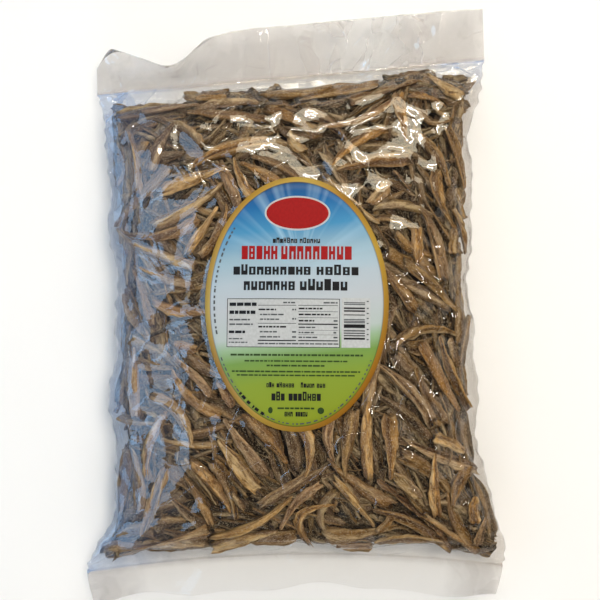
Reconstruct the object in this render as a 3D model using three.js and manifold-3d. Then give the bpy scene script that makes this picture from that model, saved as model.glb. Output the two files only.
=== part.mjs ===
// A sealed clear bag of dried anchovies, lying on its back with the label side up.
// Millimetres. +Z is up, +Y runs towards the bag's open-ended header, +X to the right of the label.
// The bag is one solid: the filled pillow, the flat header above its heat seal, the flap below
// its bottom seam, and the fish that press against the film. The oval label is a second solid.
import * as THREE from "three";
import { mergeVertices } from "three/addons/utils/BufferGeometryUtils.js";
import Module from "manifold-3d";

const { clamp, degToRad, lerp, seededRandom, smoothstep } = THREE.MathUtils;
const wasm = await Module();
wasm.setup();

// Driving dimensions of the bag
const WAIST_HALF_WIDTH = 116; // at the middle of the filled part
const TOP_FLARE = 13; // how much wider each side gets at the heat seal
const BOTTOM_FLARE = 17; // how much wider each side gets at the bottom seam
const SEAL_Y = 150; // the heat seal, at the bag's centre line
const SEAL_SLOPE = 0.077; // the seal and the header run up to the right
const BOTTOM_SEAM_Y = -163;
const BOTTOM_SAG = 7; // the corners of the bottom seam lie this much lower
const HEADER_LENGTH = 34; // loose film above the heat seal
const FLAP_LENGTH = 25; // loose film below the bottom seam
const FILL_THICKNESS = 72; // from the surface it lies on to the crown
const SEAM_HEIGHT = 19; // height of both seams above that surface
const SIDE_HEIGHT = 28; // height of the widest line in the middle of the bag
const SHEET_HALF = 0.65; // half the modelled thickness of the loose film
const FLAT_SINK = 3; // the underside is pressed this far into the surface, so it lies flat
const SECTION_POWER = 2.8; // squareness of the cross-section, where 2 is an ellipse
const CORE_INSET = 2.9; // the fish stand this far out of the core

// Driving dimensions of the label
const LABEL_WIDTH = 113;
const LABEL_HEIGHT = 157.3;
const LABEL_X = 2.8;
const LABEL_Y = -2.3;
const LABEL_TILT = degToRad(-1.2);
const LABEL_THICKNESS = 0.5;
const LABEL_GAP = 0.35; // clear of the film under it
const LABEL_BACKING = 5; // depth of the filled bed that carries the label
const BACKING_MARGIN = 1.2;

// Driving dimensions of the fish
const FISH_LENGTH = 38;
const FISH_WIDTH = 6.4;
const FISH_HEIGHT = 4.6;
const FISH_COUNT = 146;
const CASTS = 14; // places tried for each fish
const SIDE_SHARE = 0.3; // of the casts, along the side edges
const SPREAD_OF_HEADING = 80; // degrees
const SPREAD_SEED = 11;

// How finely each form is faceted
const AROUND = 36; // points round a section of the bag
const FILL_RINGS = 16;
const HEADER_RINGS = 4;
const FLAP_RINGS = 3;
const LABEL_AROUND = 44;
const LABEL_RINGS = 4;
const WELD = 0.02; // vertices closer than this become one

const bell = (x, middle, width) => Math.exp(-(((x - middle) / width) ** 2));
const signedPower = (value, power) => Math.sign(value) * Math.abs(value) ** power;

// Height of the seams' lines over the bag's plan
const sealY = (x) => SEAL_Y + SEAL_SLOPE * x;
const bottomSeamY = (x) => BOTTOM_SEAM_Y - BOTTOM_SAG * (x / WAIST_HALF_WIDTH) ** 2;

// Half the bag's width on one side (-1 left, 1 right) at the share w of the way from the bottom
// seam to the heat seal. Both side edges are a little wavy, as the film puckers over the fish.
function halfWidth(side, w) {
  const flare = TOP_FLARE * bell(w, 1, 0.13) + BOTTOM_FLARE * bell(w, 0, side > 0 ? 0.2 : 0.1);
  const pucker =
    side > 0
      ? 1.9 * Math.sin(19 * w + 0.6) + 1.1 * Math.sin(43 * w)
      : 2.4 * Math.sin(16 * w + 2.2) + 1.3 * Math.sin(37 * w + 1);
  return WAIST_HALF_WIDTH + flare + pucker;
}

// How full the bag is at w: 0 at both seams, 1 in the middle, and blunter at the bottom
function fullness(w) {
  const end = Math.abs(2 * w - 1);
  return w < 0.5
    ? (1 - clamp(end, 0, 1) ** 4) ** 0.52
    : (1 - clamp(end, 0, 1) ** 3.2) ** 0.64;
}

// Low hills in the filled surface, where the heap of fish is uneven
const hills = (x, y) =>
  1.5 * Math.sin(x / 24 + 1.3) * Math.cos(y / 33 + 0.4) + 1.1 * Math.sin(x / 51 - y / 29);

// A point of the film round the filled part, at an angle round the section and a share w
function fillPoint(angle, w) {
  const across = signedPower(Math.cos(angle), 2 / SECTION_POWER);
  const up = signedPower(Math.sin(angle), 2 / SECTION_POWER);
  const full = fullness(w);
  const x = across * halfWidth(Math.sign(across) || 1, w);
  const y = lerp(bottomSeamY(x), sealY(x), w);
  const middle = lerp(SEAM_HEIGHT, SIDE_HEIGHT, full);
  const rise = (FILL_THICKNESS - SIDE_HEIGHT + hills(x, y)) * full;
  const drop = (SIDE_HEIGHT + FLAT_SINK) * full;
  const z = middle + up * (SHEET_HALF + (up > 0 ? rise : drop));
  return new THREE.Vector3(x, y, Math.max(z, 0));
}

// The outward direction of the film at that point
function fillNormal(angle, w) {
  const step = 0.004;
  const round = fillPoint(angle + step, w).sub(fillPoint(angle - step, w));
  const low = Math.max(w - step, 0);
  const high = Math.min(w + step, 1);
  const along = fillPoint(angle, high).sub(fillPoint(angle, low));
  return along.cross(round).normalize();
}

// The header's loose film stands up by this angle: it folds sharply near its left corner,
// lies back beyond the fold, and flattens towards the right corner.
function headerLift(x) {
  const fold = 50 * bell(x, -79, 15);
  const leftCorner = 24 * (1 - smoothstep(x, -92, -66));
  const rest = 26 * (1 - smoothstep(x, 55, 128));
  return degToRad(clamp(fold + leftCorner + rest, 0, 80));
}

// The flap under the bottom seam droops, more at some places than at others
const flapDroop = (x) => degToRad(27 + 9 * Math.sin(x / 21 + 0.5) + 6 * Math.sin(x / 9));

// A point of a loose strip of film: at x along its seam, at a distance from the seam along the
// film, which bends to its angle within the first third.
function stripPoint(x, seamY, away, distance, length, angle, offset) {
  const bend = length / 3;
  const eased = distance < bend ? distance ** 2 / (2 * bend) : distance - bend / 2;
  const out = distance - eased * (1 - Math.cos(angle));
  return new THREE.Vector3(x, seamY + away * out, SEAM_HEIGHT + eased * Math.sin(angle) + offset);
}

// Its left corner is cut off aslant: the header's length there, as a share of the whole
const cutCorner = (x) => lerp(0.45, 1, smoothstep(x, -131, -113));

function headerPoint(angle, distance) {
  const side = Math.sign(Math.cos(angle)) || 1;
  const x = signedPower(Math.cos(angle), 2 / SECTION_POWER) * (halfWidth(side, 1) - 0.05 * distance);
  const offset = SHEET_HALF * signedPower(Math.sin(angle), 2 / SECTION_POWER);
  const length = HEADER_LENGTH * cutCorner(x);
  return stripPoint(x, sealY(x), 1, distance * cutCorner(x), length, headerLift(x), offset);
}

function flapPoint(angle, distance) {
  const side = Math.sign(Math.cos(angle)) || 1;
  const x = signedPower(Math.cos(angle), 2 / SECTION_POWER) * (halfWidth(side, 0) - 0.12 * distance);
  const offset = SHEET_HALF * signedPower(Math.sin(angle), 2 / SECTION_POWER);
  return stripPoint(x, bottomSeamY(x), -1, distance, FLAP_LENGTH, -flapDroop(x), offset);
}

// A closed geometry through rings of points. Each flat end is closed by a strip, because the
// point i of a ring lies over the point that mirrors it.
function loft(rings) {
  const around = rings[0].length;
  const triangles = [];
  for (let r = 0; r + 1 < rings.length; r++)
    for (let i = 0; i < around; i++) {
      const a = r * around + i;
      const b = r * around + ((i + 1) % around);
      triangles.push(a, a + around, b, b, a + around, b + around);
    }
  const last = (rings.length - 1) * around;
  for (let i = 0; i < around / 2; i++) {
    const under = (around - i) % around;
    const nextUnder = around - i - 1;
    triangles.push(i, i + 1, nextUnder, i, nextUnder, under);
    triangles.push(last + i, last + nextUnder, last + i + 1, last + i, last + under, last + nextUnder);
  }
  return new THREE.BufferGeometry().setFromPoints(rings.flat()).setIndex(triangles);
}

// The bag without the relief of its fish: flap, filled core, header
function bagShell() {
  const ring = (point) =>
    Array.from({ length: AROUND }, (_, i) => point((2 * Math.PI * i) / AROUND));
  const rings = [];
  for (let k = FLAP_RINGS; k > 0; k--)
    rings.push(ring((angle) => flapPoint(angle, (FLAP_LENGTH * k) / FLAP_RINGS)));
  for (let k = 0; k <= FILL_RINGS; k++) {
    const w = (1 - Math.cos((Math.PI * k) / FILL_RINGS)) / 2; // closer together at the ends
    const inset = CORE_INSET * smoothstep(fullness(w), 0.15, 0.45);
    rings.push(
      ring((angle) => {
        const point = fillPoint(angle, w);
        if (inset > 0 && point.z > 0) point.addScaledVector(fillNormal(angle, w), -inset);
        return point.setZ(Math.max(point.z, 0));
      }),
    );
  }
  for (let k = 1; k <= HEADER_RINGS; k++)
    rings.push(ring((angle) => headerPoint(angle, (HEADER_LENGTH * k) / HEADER_RINGS)));
  return loft(rings);
}

// The angle and share where the film's upper face is over a point of the plan
function placeOver(x, y) {
  const w = clamp((y - bottomSeamY(x)) / (sealY(x) - bottomSeamY(x)), 0.001, 0.999);
  const across = clamp(x / halfWidth(Math.sign(x) || 1, w), -1, 1);
  return [Math.acos(signedPower(across, SECTION_POWER / 2)), w];
}

// An oval slab that follows the film's upper face, between two heights above it
function ovalSlab(width, height, low, high) {
  const share = Array.from({ length: LABEL_RINGS + 1 }, (_, i) => i / LABEL_RINGS);
  const profile = [
    ...share.map((r) => new THREE.Vector2(r, low)),
    ...share.reverse().map((r) => new THREE.Vector2(r, high)),
  ];
  const slab = new THREE.LatheGeometry(profile, LABEL_AROUND);
  const position = slab.getAttribute("position");
  for (let i = 0; i < position.count; i++) {
    const along = new THREE.Vector2((position.getX(i) * width) / 2, (-position.getZ(i) * height) / 2);
    along.rotateAround(new THREE.Vector2(), LABEL_TILT);
    const place = placeOver(along.x + LABEL_X, along.y + LABEL_Y);
    const point = fillPoint(...place).addScaledVector(fillNormal(...place), position.getY(i));
    position.setXYZ(i, point.x, point.y, point.z);
  }
  return slab;
}

// True if a point of the film lies under the label or too near its rim
function underLabel(point) {
  const from = new THREE.Vector2(point.x - LABEL_X, point.y - LABEL_Y);
  from.rotateAround(new THREE.Vector2(), -LABEL_TILT);
  const margin = FISH_WIDTH / 2 + 1.5;
  const reach = Math.hypot(from.x / (LABEL_WIDTH / 2 + margin), from.y / (LABEL_HEIGHT / 2 + margin));
  return point.z > SIDE_HEIGHT && reach < 1;
}

// The way the fish mostly lie, in degrees from +X: level under the heat seal, along the side
// edges, and sloping down to the right elsewhere.
function grain(point) {
  const level = smoothstep(point.y, 95, 130);
  const left = 1 - smoothstep(point.x, -105, -75);
  const right = smoothstep(point.x, 85, 112);
  return lerp(lerp(lerp(-38, -84, right), -98, left), -4, level);
}

// A place on the film reached from a fish's middle, going along its length and to its side
function fishPlace({ angle, w, heading }, lengthwise, sideways) {
  const step = 0.002;
  const middle = fillPoint(angle, w);
  const perAngle = fillPoint(angle + step, w).distanceTo(middle) / step;
  const perShare = fillPoint(angle, w + step).distanceTo(middle) / step;
  const across = lengthwise * Math.cos(heading) - sideways * Math.sin(heading);
  const along = lengthwise * Math.sin(heading) + sideways * Math.cos(heading);
  return [angle - across / perAngle, clamp(w + along / perShare, 0.01, 0.99)];
}

// One dried fish: a spindle with a ridge along its back, thickest a third of the way from its cut
// neck, bent over the film's curve and pressed into the core until its back just reaches the film
function fishGeometry(fish) {
  const spindle = new THREE.SphereGeometry(1, 4, 4);
  const position = spindle.getAttribute("position");
  for (let i = 0; i < position.count; i++) {
    const t = position.getY(i); // -1 at the tail, 1 at the neck
    const taper = Math.sqrt(Math.max(1 - t * t, 0)) * (0.86 + 0.2 * t);
    const ring = Math.hypot(position.getX(i), position.getZ(i)) || 1;
    const half = (fish.size * taper) / 2;
    const sideways = (-position.getX(i) / ring) * FISH_WIDTH * half + fish.curl * (t * t - 0.4);
    const upward = (position.getZ(i) / ring) * FISH_HEIGHT * half - (FISH_HEIGHT * fish.size) / 2;
    const place = fishPlace(fish, (t * FISH_LENGTH * fish.size) / 2, sideways);
    const point = fillPoint(...place).addScaledVector(fillNormal(...place), upward);
    position.setXYZ(i, point.x, point.y, point.z);
  }
  return spindle;
}

// Random places, evenly over the plan or along the two side edges
const placeOnTop = () =>
  placeOver(
    lerp(-WAIST_HALF_WIDTH, WAIST_HALF_WIDTH, seededRandom()),
    lerp(BOTTOM_SEAM_Y, SEAL_Y, seededRandom()),
  );
const placeOnSide = () => {
  const up = Math.PI * lerp(-0.16, 0.1, seededRandom());
  return [seededRandom() < 0.5 ? up : Math.PI - up, lerp(0.06, 0.94, seededRandom())];
};

// A fish of random place, size and curve that keeps clear of the label
function castFish() {
  for (;;) {
    const [angle, w] = seededRandom() < SIDE_SHARE ? placeOnSide() : placeOnTop();
    const middle = fillPoint(angle, w);
    const turn = SPREAD_OF_HEADING * (seededRandom() - 0.5);
    const fish = {
      angle,
      w,
      middle,
      heading: degToRad(grain(middle) + turn),
      size: lerp(0.8, 1.18, seededRandom()),
      curl: lerp(-3, 3, seededRandom()),
    };
    const spine = [-0.5, -0.25, 0, 0.25, 0.5].map((t) =>
      fillPoint(...fishPlace(fish, t * FISH_LENGTH * fish.size, 0)),
    );
    if (!spine.some(underLabel)) return fish;
  }
}

// The fish that show. Each one is the best of some casts: the farthest from those already there.
function fishRelief() {
  seededRandom(SPREAD_SEED);
  const found = [];
  const room = ({ middle }) => Math.min(...found.map((other) => other.middle.distanceTo(middle)));
  while (found.length < FISH_COUNT) {
    const casts = Array.from({ length: CASTS }, castFish);
    found.push(casts.reduce((best, cast) => (room(cast) > room(best) ? cast : best)));
  }
  return found.map(fishGeometry);
}

function toSolid(geometry) {
  const bare = new THREE.BufferGeometry()
    .setAttribute("position", geometry.getAttribute("position"))
    .setIndex(geometry.getIndex());
  const merged = mergeVertices(bare, 1e-4);
  return new wasm.Manifold(
    new wasm.Mesh({
      numProp: 3,
      vertProperties: merged.getAttribute("position").array,
      triVerts: new Uint32Array(merged.getIndex().array),
    }),
  );
}

function toGeometry(solid) {
  const mesh = solid.getMesh();
  return new THREE.BufferGeometry()
    .setAttribute("position", new THREE.BufferAttribute(mesh.vertProperties, 3))
    .setIndex(new THREE.BufferAttribute(mesh.triVerts, 1));
}

// The bag as one solid, without the small hollows that the fish close between them
function bagSolid() {
  const bed = ovalSlab(
    LABEL_WIDTH + 2 * BACKING_MARGIN,
    LABEL_HEIGHT + 2 * BACKING_MARGIN,
    -LABEL_BACKING,
    -LABEL_GAP,
  );
  let joined = toSolid(bagShell()).add(toSolid(bed));
  for (const geometry of fishRelief()) joined = joined.add(toSolid(geometry));
  const floorBox = new THREE.BoxGeometry(400, 500, 20).translate(0, 0, -10);
  const cut = joined.subtract(toSolid(floorBox)).simplify(WELD);
  return cut.decompose().sort((a, b) => b.volume() - a.volume())[0];
}

const film = new THREE.MeshStandardMaterial({ color: 0xa48a66, roughness: 0.35, metalness: 0 });
const paper = new THREE.MeshStandardMaterial({ color: 0x8fb7c4, roughness: 0.3, metalness: 0 });

const bag = new THREE.Mesh(toGeometry(bagSolid()), film);
bag.name = "bag";

const label = new THREE.Mesh(ovalSlab(LABEL_WIDTH, LABEL_HEIGHT, 0, LABEL_THICKNESS), paper);
label.name = "label";

const group = new THREE.Group();
group.add(bag, label);

// The origin is on the surface that the bag lies on, under the middle of its plan
const middle = new THREE.Box3().setFromObject(group).getCenter(new THREE.Vector3());
bag.position.set(-middle.x, -middle.y, 0);
label.position.copy(bag.position);

export default group;
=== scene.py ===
import math

import bpy
import numpy as np
from mathutils import Matrix, Vector


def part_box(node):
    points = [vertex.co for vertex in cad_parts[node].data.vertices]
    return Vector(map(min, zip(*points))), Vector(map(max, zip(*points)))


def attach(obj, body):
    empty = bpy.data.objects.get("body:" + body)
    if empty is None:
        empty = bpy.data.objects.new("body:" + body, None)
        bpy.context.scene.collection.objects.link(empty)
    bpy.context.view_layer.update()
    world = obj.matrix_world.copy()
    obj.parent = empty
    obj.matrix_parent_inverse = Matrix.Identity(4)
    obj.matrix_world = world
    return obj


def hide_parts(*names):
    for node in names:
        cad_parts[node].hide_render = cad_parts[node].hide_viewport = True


# A clear, heat-sealed bag packed with dried anchovies, lying with its oval label up.
# Lengths are in millimetres and are turned into metres where a mesh is made.
# The bag's form is the one of the CAD solid, and the label's node says where its middle is.

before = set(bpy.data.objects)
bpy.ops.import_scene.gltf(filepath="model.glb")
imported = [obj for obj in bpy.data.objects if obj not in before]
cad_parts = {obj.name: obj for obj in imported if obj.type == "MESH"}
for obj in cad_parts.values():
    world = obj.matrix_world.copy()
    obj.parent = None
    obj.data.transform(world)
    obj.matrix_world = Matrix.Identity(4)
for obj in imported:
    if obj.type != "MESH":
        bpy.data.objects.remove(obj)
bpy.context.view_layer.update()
MM = 0.001
rng = np.random.default_rng(20)

# The form of the filled bag, as in the part's source
WAIST_HALF_WIDTH = 116
TOP_FLARE = 13
BOTTOM_FLARE = 17
SEAL_Y = 150
SEAL_SLOPE = 0.077
BOTTOM_SEAM_Y = -163
BOTTOM_SAG = 7
HEADER_LENGTH = 34
FLAP_LENGTH = 25
FILL_THICKNESS = 72
SEAM_HEIGHT = 19
SIDE_HEIGHT = 28
SHEET_HALF = 0.65
FLAT_SINK = 3
SECTION_POWER = 2.8

# The label
LABEL_WIDTH = 113
LABEL_HEIGHT = 157.3
LABEL_X = 2.8
LABEL_Y = -2.3
LABEL_TILT = math.radians(-1.2)
LABEL_THICKNESS = 0.3
LABEL_LIFT = 0.5  # its lower face above the bag's form

# The frame's origin is under the middle of the bag's box: this brings the form above there
label_low, label_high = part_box("label")
SHIFT_X = (label_low.x + label_high.x) / 2 / MM - LABEL_X
SHIFT_Y = (label_low.y + label_high.y) / 2 / MM - LABEL_Y


def bell(x, middle, width):
    return np.exp(-(((x - middle) / width) ** 2))


def smooth(x, low, high):
    share = np.clip((x - low) / (high - low), 0, 1)
    return share * share * (3 - 2 * share)


def signed_power(value, power):
    return np.sign(value) * np.abs(value) ** power


def unit(vectors):
    return vectors / np.maximum(np.linalg.norm(vectors, axis=-1, keepdims=True), 1e-9)


def seal_y(x):
    return SEAL_Y + SEAL_SLOPE * x


def bottom_seam_y(x):
    return BOTTOM_SEAM_Y - BOTTOM_SAG * (x / WAIST_HALF_WIDTH) ** 2


# How far a place in plan lies on the way from the bottom seam (0) to the seal (1)
def way_up(x, y):
    return (y - bottom_seam_y(x)) / (seal_y(x) - bottom_seam_y(x))


# Half the bag's width on the side of x, at a share w of the way up
def half_width(x, w):
    on_right = np.asarray(x) >= 0
    flare = TOP_FLARE * bell(w, 1, 0.13) + BOTTOM_FLARE * bell(w, 0, np.where(on_right, 0.2, 0.1))
    right = 1.9 * np.sin(19 * w + 0.6) + 1.1 * np.sin(43 * w)
    left = 2.4 * np.sin(16 * w + 2.2) + 1.3 * np.sin(37 * w + 1)
    return WAIST_HALF_WIDTH + flare + np.where(on_right, right, left)


def fullness(w):
    end = np.clip(np.abs(2 * w - 1), 0, 1)
    return np.where(w < 0.5, (1 - end**4) ** 0.52, (1 - end**3.2) ** 0.64)


def hills(x, y):
    return 1.5 * np.sin(x / 24 + 1.3) * np.cos(y / 33 + 0.4) + 1.1 * np.sin(x / 51 - y / 29)


# A section's middle height, and how far its film lies above and below that at most
def section(x, y, w):
    full = fullness(w)
    middle = SEAM_HEIGHT + (SIDE_HEIGHT - SEAM_HEIGHT) * full
    rise = (FILL_THICKNESS - SIDE_HEIGHT + hills(x, y)) * full
    drop = (SIDE_HEIGHT + FLAT_SINK) * full
    return middle, SHEET_HALF + rise, SHEET_HALF + drop


# Points of the film round the filled part, in millimetres in the frame
def fill_point(angle, w):
    across = signed_power(np.cos(angle), 2 / SECTION_POWER)
    up = signed_power(np.sin(angle), 2 / SECTION_POWER)
    x = across * half_width(across, w)
    y = bottom_seam_y(x) * (1 - w) + seal_y(x) * w
    middle, rise, drop = section(x, y, w)
    z = middle + up * np.where(up > 0, rise, drop)
    return np.stack([x + SHIFT_X, y + SHIFT_Y, np.maximum(z, 0)], -1)


# The form's lower and upper height at places in plan, in millimetres in the frame
def form_heights(x, y):
    x = x - SHIFT_X
    y = y - SHIFT_Y
    w = np.clip(way_up(x, y), 0.001, 0.999)
    across = np.clip(np.abs(x) / half_width(x, w), 0, 1)
    up = (1 - across**SECTION_POWER) ** (1 / SECTION_POWER)
    middle, rise, drop = section(x, y, w)
    return np.maximum(middle - up * drop, 0), middle + up * rise


# A chart of the film: its columns go round the section, starting at the right edge and going over
# the top, and its rows go from the bottom seam to the heat seal.
CELL = 0.85


# Values at even steps of about one cell. A closed line gets a multiple of four of them.
def even_steps(points, values, closed):
    gone = np.concatenate([[0], np.cumsum(np.linalg.norm(np.diff(points, axis=0), axis=1))])
    if closed:
        count = int(round(gone[-1] / CELL / 4)) * 4
        steps = np.linspace(0, gone[-1], count + 1)[:-1]
    else:
        steps = np.linspace(0, gone[-1], int(round(gone[-1] / CELL)) + 1)
    return np.interp(steps, gone, values)


dense_angle = np.linspace(0, 2 * np.pi, 20001)
dense_w = np.linspace(0, 1, 8001)
COLUMN_ANGLE = even_steps(fill_point(dense_angle, 0.5), dense_angle, True)
ROW_W = even_steps(fill_point(math.pi / 2, dense_w), dense_w, False)
COLUMNS = len(COLUMN_ANGLE)
ROWS = len(ROW_W)

SURFACE = fill_point(COLUMN_ANGLE[None, :], ROW_W[:, None])
STEP_ROUND = (np.roll(SURFACE, -1, 1) - np.roll(SURFACE, 1, 1)) / 2
STEP_ALONG = np.gradient(SURFACE, axis=0)
OUTWARD = unit(np.cross(STEP_ALONG, STEP_ROUND))
SMALLEST_CELL = 0.2
CELL_ROUND = np.maximum(np.linalg.norm(STEP_ROUND, axis=-1), SMALLEST_CELL)
CELL_ALONG = np.maximum(np.linalg.norm(STEP_ALONG, axis=-1), SMALLEST_CELL)
FROM_BOTTOM = np.arange(ROWS)[:, None] * CELL  # millimetres along the film
FROM_SEAL = (ROWS - 1) * CELL - FROM_BOTTOM
TURN = np.arange(COLUMNS)[None, :] * 2 * np.pi / COLUMNS
SIDE_EDGE = bell(1 - np.abs(np.cos(COLUMN_ANGLE)), 0, 0.11)[None, :]  # 1 along both side edges
ON_LEFT = (np.cos(TURN) < 0) * 1.0


# Whether points lie under the label, made larger by a margin
def under_label(points, margin):
    x = points[..., 0] - SHIFT_X - LABEL_X
    y = points[..., 1] - SHIFT_Y - LABEL_Y
    across = x * math.cos(LABEL_TILT) + y * math.sin(LABEL_TILT)
    along = y * math.cos(LABEL_TILT) - x * math.sin(LABEL_TILT)
    reach = np.hypot(across / (LABEL_WIDTH / 2 + margin), along / (LABEL_HEIGHT / 2 + margin))
    return (points[..., 2] > SIDE_HEIGHT) & (reach < 1)


# Helpers for objects
ATTRIBUTE_FIELDS = {"FLOAT": "value", "FLOAT_VECTOR": "vector", "FLOAT_COLOR": "color"}


def deselect():
    bpy.ops.object.select_all(action="DESELECT")


def finished(piece, name, material, slot, *replaced):
    piece.name = name
    piece.data.name = name
    piece.data.materials.clear()
    piece.data.materials.append(material)
    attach(piece, "root")
    if replaced:
        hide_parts(*replaced)


# A mesh object from points in millimetres and faces, each an array of corners of one size
def mesh_piece(name, points, *faces):
    mesh = bpy.data.meshes.new(name)
    corners = np.concatenate([f.ravel() for f in faces]).astype(np.int32)
    sizes = np.concatenate([np.full(len(f), f.shape[1]) for f in faces])
    starts = np.concatenate([[0], np.cumsum(sizes)[:-1]]).astype(np.int32)
    mesh.vertices.add(len(points))
    mesh.vertices.foreach_set("co", (points * MM).astype(np.float32).ravel())
    mesh.loops.add(len(corners))
    mesh.loops.foreach_set("vertex_index", corners)
    mesh.polygons.add(len(sizes))
    mesh.polygons.foreach_set("loop_start", starts)
    mesh.polygons.foreach_set("use_smooth", np.ones(len(sizes), bool))
    mesh.update(calc_edges=True)
    mesh.validate()
    piece = bpy.data.objects.new(name, mesh)
    bpy.context.scene.collection.objects.link(piece)
    return piece


def mesh_points(mesh):
    points = np.empty(len(mesh.vertices) * 3)
    mesh.vertices.foreach_get("co", points)
    return points.reshape(-1, 3)


def point_values(piece, kind, **values):
    for name, array in values.items():
        attribute = piece.data.attributes.new(name, kind, "POINT")
        attribute.data.foreach_set(ATTRIBUTE_FIELDS[kind], array.astype(np.float32).ravel())


def srgb(*channels):
    return tuple(((c / 255 + 0.055) / 1.055) ** 2.4 if c > 10 else c / 255 / 12.92 for c in channels)


# A material and its nodes. What is put into a node is a plain value or the output of another node.
class Graph:
    def __init__(self, name):
        self.material = bpy.data.materials.new(name)
        self.material.use_nodes = True
        self.nodes = self.material.node_tree.nodes
        self.links = self.material.node_tree.links
        self.shader = self.nodes["Principled BSDF"]

    def put(self, socket, value):
        if isinstance(value, bpy.types.NodeSocket):
            self.links.new(value, socket)
        elif socket.type == "RGBA":
            socket.default_value = (*value, 1)
        else:
            socket.default_value = value

    # Settings and inputs are given by name, or inputs by their order, after the settings
    def node(self, kind, *inputs, **values):
        node = self.nodes.new("ShaderNode" + kind)
        for key, value in values.items():
            if hasattr(node, key):
                setattr(node, key, value)
            else:
                self.put(node.inputs[key.replace("_", " ")], value)
        for socket, value in zip(node.inputs, inputs):
            self.put(socket, value)
        return node

    def attribute(self, name, output="Fac"):
        return self.node("Attribute", attribute_name=name).outputs[output]

    def noise(self, place, scale, detail, output="Fac", **more):
        return self.node("TexNoise", Vector=place, Scale=scale, Detail=detail, **more).outputs[output]

    def voronoi(self, place, scale):
        return self.node("TexVoronoi", feature="F1", Vector=place, Scale=scale).outputs

    def stretched(self, place, scale):
        return self.node("Mapping", vector_type="POINT", Vector=place, Scale=scale).outputs["Vector"]

    # A value between low and high, brought to between the two others
    def ranged(self, value, low, high, to_low=0.0, to_high=1.0):
        spans = {"From_Min": low, "From_Max": high, "To_Min": to_low, "To_Max": to_high}
        return self.node("MapRange", Value=value, **spans).outputs["Result"]

    def math(self, operation, *values):
        return self.node("Math", *values, operation=operation).outputs["Value"]

    def vector_math(self, operation, *values, output="Vector"):
        return self.node("VectorMath", *values, operation=operation).outputs[output]

    def mix(self, factor, first, second, blend="MIX"):
        node = self.node("Mix", data_type="RGBA", blend_type=blend, Factor=factor, A=first, B=second)
        return node.outputs["Result"]

    def multiplied(self, first, second):
        return self.mix(1.0, first, second, "MULTIPLY")

    def ramp(self, value, *stops, interpolation="LINEAR"):
        node = self.node("ValToRGB", Fac=value)
        node.color_ramp.interpolation = interpolation
        elements = node.color_ramp.elements
        while len(elements) < len(stops):
            elements.new(0.5)
        for element, (place, color) in zip(elements, stops):
            element.position = place
            element.color = (*color, 1)
        return node.outputs["Color"]

    def bump(self, height, strength, distance, **below):
        node = self.node("Bump", Height=height, Strength=strength, Distance=distance, **below)
        return node.outputs["Normal"]

    # Gives the shader its values, and ends the work on the material
    def surface(self, **values):
        for key, value in values.items():
            self.put(self.shader.inputs[key.replace("_", " ")], value)
        return self.material


# The fish

# How wide a dried, headless fish is from its tail (-1) to its neck (1), as a share of its widest
TAIL_TO_NECK = (-1, -0.9, -0.65, -0.35, -0.05, 0.25, 0.5, 0.75, 0.9, 1)
WHOLE_OUTLINE = (0.34, 0.3, 0.42, 0.64, 0.86, 1.0, 1.0, 0.97, 0.92, 0.78)
SLIM_OUTLINE = (0.4, 0.34, 0.52, 0.76, 0.9, 1.0, 0.98, 0.96, 0.92, 0.8)
PIECE_OUTLINE = (0.5, 0.62, 0.85, 0.97, 1.0, 0.97, 0.98, 0.92, 0.8, 0.66)
FISH_SEGMENTS = 10
FISH_RINGS = 12

# Length and width in millimetres, height as a share of the width. Open is how deep the split belly
# is, cut how much of one side is gone, and bend and curl are millimetres sideways and upwards.
KINDS = {
    "whole_fish": dict(seed=1, share=0.28, outline=WHOLE_OUTLINE, open=0.0, cut=0.1, shrivel=0.17,
                       length=(35, 50), width=(7.2, 10.4), height=0.6, bend=4.2, curl=1.3),
    "long_fish": dict(seed=2, share=0.2, outline=SLIM_OUTLINE, open=0.0, cut=0.08, shrivel=0.18,
                      length=(40, 56), width=(6.6, 9.4), height=0.62, bend=5.6, curl=1.5),
    "curved_fish": dict(seed=3, share=0.18, outline=WHOLE_OUTLINE, open=0.0, cut=0.28, shrivel=0.17,
                        length=(32, 47), width=(6.8, 9.4), height=0.62, bend=9.5, curl=1.8),
    "split_fish": dict(seed=4, share=0.18, outline=WHOLE_OUTLINE, open=0.6, cut=0.0, shrivel=0.15,
                       length=(34, 51), width=(7.6, 10.8), height=0.56, bend=5.0, curl=1.4),
    "thin_fish": dict(seed=5, share=0.06, outline=SLIM_OUTLINE, open=0.0, cut=0.0, shrivel=0.2,
                      length=(28, 45), width=(4.2, 6.0), height=0.7, bend=4.5, curl=1.3),
    "broken_fish": dict(seed=6, share=0.10, outline=PIECE_OUTLINE, open=0.35, cut=0.1, shrivel=0.17,
                        length=(12, 25), width=(4.8, 7.6), height=0.6, bend=1.8, curl=0.7),
}
VARIANTS = 6
FISH_COUNT = 2900

# How uneven a fish is: its widest place, its rings' widths and heights, its creases, its points
WIDEST_SHIFT = 0.15
RING_WIDTHS = 0.085
RING_HEIGHTS = 0.1
CREASE_DRIFT = 0.6
CREASE_GRAIN = 0.06
CREASE_WIDE = 0.7
CREASE_HIGH = 1.9
SPINE_WANDER = 0.05
POINT_SHIFT = 0.012
TORN_NECK = 0.06
LENS_POWER = 1.05
HEIGHT_POWER = 0.75  # a fish's height grows with this power of its width


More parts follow.
